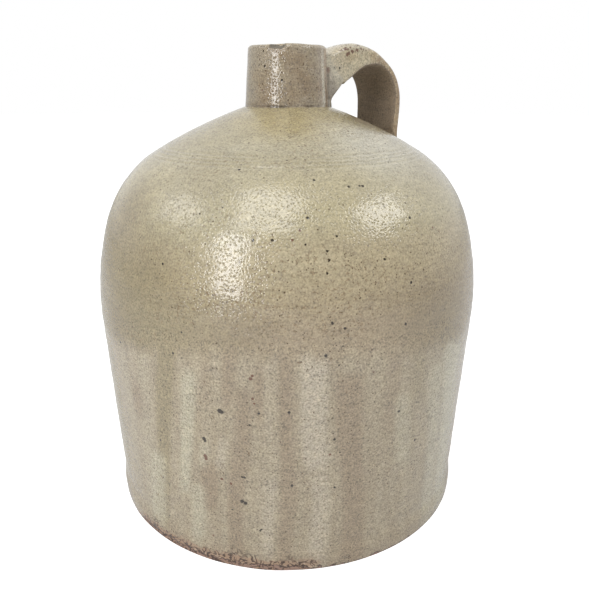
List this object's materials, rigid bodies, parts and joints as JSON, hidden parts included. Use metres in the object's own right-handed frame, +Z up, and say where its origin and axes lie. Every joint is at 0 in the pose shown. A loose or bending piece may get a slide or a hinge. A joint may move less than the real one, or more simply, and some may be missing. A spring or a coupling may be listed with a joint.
{
  "type": "stoneware jug",
  "caption": "Dome-shouldered salt-glazed stoneware jug with a short collar neck, an open cork mouth and a pulled strap handle from neck to shoulder.",
  "frame": {"origin": "centre of the foot, on the surface that the jug stands on", "axes": "+Z up along the axis of the jug; +X from the axis towards the handle"},
  "size_m": [0.24, 0.24, 0.2838],
  "materials": {
    "wall_glaze": "glossy",
    "shoulder_glaze": "glossy",
    "neck_glaze": "glossy",
    "handle_glaze": "glossy"
  },
  "bodies": {
    "root": {"lower_body": "wall_glaze", "upper_body": "shoulder_glaze", "crown": "shoulder_glaze", "neck": "neck_glaze", "handle": "handle_glaze", "handle_web": "neck_glaze"}
  },
  "joints": []
}
